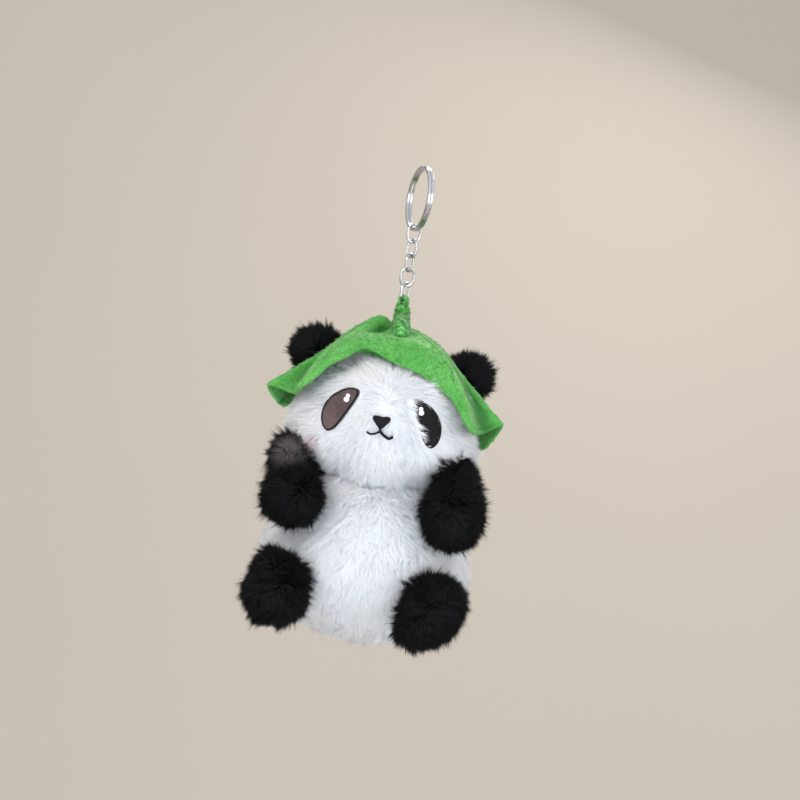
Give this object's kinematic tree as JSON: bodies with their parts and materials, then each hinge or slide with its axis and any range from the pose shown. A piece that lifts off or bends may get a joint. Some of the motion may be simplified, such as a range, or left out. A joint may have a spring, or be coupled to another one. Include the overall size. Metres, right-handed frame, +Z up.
{
  "type": "plush panda key charm",
  "caption": "Stuffed fur panda with a leaf hat, sitting with folded arms and hung from a split ring by a short link chain.",
  "frame": {"origin": "centre of the split ring", "axes": "+Z up along the hanging chain, -Y out of the panda's face, +X towards the panda's own left arm"},
  "size_m": [0.0979, 0.0881, 0.2015],
  "materials": {
    "ring_steel": "polished nickel-plated flat spring wire",
    "chain_steel": "polished nickel-plated round wire",
    "stem_plush": "fuzzy chenille, dark green with paler flecks",
    "leaf_plush": "short-pile velvety plush",
    "leaf_lining": "short-pile plush, in shade",
    "white_fur": "long soft faux fur, white",
    "black_fur": "long soft faux fur, black",
    "eye_satin": "satin-stitched patch, near black",
    "glint_thread": "white embroidery thread",
    "black_thread": "black embroidery thread",
    "stuffing": "loose white polyester fibre"
  },
  "bodies": {
    "split_ring": {"split_ring": "ring_steel"},
    "link_1": {"chain_link_1": "chain_steel"},
    "link_2": {"chain_link_2": "chain_steel"},
    "link_3": {"chain_link_3": "chain_steel"},
    "link_4": {"chain_link_4": "chain_steel"},
    "link_5": {"chain_link_5": "chain_steel"},
    "head": {"stem_loop": "stem_plush", "leaf_stem": "stem_plush", "leaf_upper": "leaf_plush", "leaf_lower": "leaf_lining", "head_cover": "white_fur", "head_filling": "stuffing", "eye_patch_right": "eye_satin", "eye_patch_left": "eye_satin", "eye_glints_right": "glint_thread", "eye_glints_left": "glint_thread", "nose": "black_thread", "mouth": "black_thread", "ear_right": "black_fur", "ear_left": "black_fur", "ear_right_filling": "stuffing", "ear_left_filling": "stuffing"},
    "torso": {"torso_cover": "white_fur", "torso_filling": "stuffing"},
    "arm_right": {"arm_right_cover": "black_fur", "arm_right_filling": "stuffing"},
    "arm_left": {"arm_left_cover": "black_fur", "arm_left_filling": "stuffing"},
    "leg_right": {"leg_right_cover": "black_fur", "leg_right_filling": "stuffing"},
    "leg_left": {"leg_left_cover": "black_fur", "leg_left_filling": "stuffing"}
  },
  "joints": [
    {"name": "ring_swing", "type": "hinge", "parent": "split_ring", "child": "link_1", "pos_m": [0, 0, -0.01415], "axis": [-0.3256, 0.9455, 0], "range_deg": [-40, 40]},
    {"name": "link_1_to_link_2", "type": "hinge", "parent": "link_1", "child": "link_2", "pos_m": [0, 0, -0.0188], "axis": [0.9455, 0.3256, 0], "range_deg": [-20, 20]},
    {"name": "link_2_to_link_3", "type": "hinge", "parent": "link_2", "child": "link_3", "pos_m": [0, 0, -0.025], "axis": [0.6691, -0.7431, 0], "range_deg": [-20, 20]},
    {"name": "link_3_to_link_4", "type": "hinge", "parent": "link_3", "child": "link_4", "pos_m": [0, 0, -0.0312], "axis": [0.5, 0.866, 0], "range_deg": [-20, 20]},
    {"name": "link_4_to_link_5", "type": "hinge", "parent": "link_4", "child": "link_5", "pos_m": [0, 0, -0.0374], "axis": [0.9945, -0.1045, 0], "range_deg": [-20, 20]},
    {"name": "link_5_to_head", "type": "hinge", "parent": "link_5", "child": "head", "pos_m": [0, 0, -0.0436], "axis": [0.5592, 0.829, 0], "range_deg": [-20, 20]},
    {"name": "neck_nod", "type": "hinge", "parent": "head", "child": "torso", "pos_m": [0, 0.003, -0.0915], "axis": [1, 0, 0], "range_deg": [-10, 10], "stiffness_Nm_per_rad": 0.03},
    {"name": "shoulder_right", "type": "hinge", "parent": "torso", "child": "arm_right", "pos_m": [-0.031, -0.006, -0.12], "axis": [-1, 0, 0], "range_deg": [-2, 20], "stiffness_Nm_per_rad": 0.03},
    {"name": "shoulder_left", "type": "hinge", "parent": "torso", "child": "arm_left", "pos_m": [0.031, -0.006, -0.12], "axis": [-1, 0, 0], "range_deg": [-2, 20], "stiffness_Nm_per_rad": 0.03},
    {"name": "hip_right", "type": "hinge", "parent": "torso", "child": "leg_right", "pos_m": [-0.031, -0.017, -0.166], "axis": [-1, 0, 0], "range_deg": [-12, 18], "stiffness_Nm_per_rad": 0.03},
    {"name": "hip_left", "type": "hinge", "parent": "torso", "child": "leg_left", "pos_m": [0.031, -0.017, -0.166], "axis": [-1, 0, 0], "range_deg": [-12, 18], "stiffness_Nm_per_rad": 0.03}
  ]
}
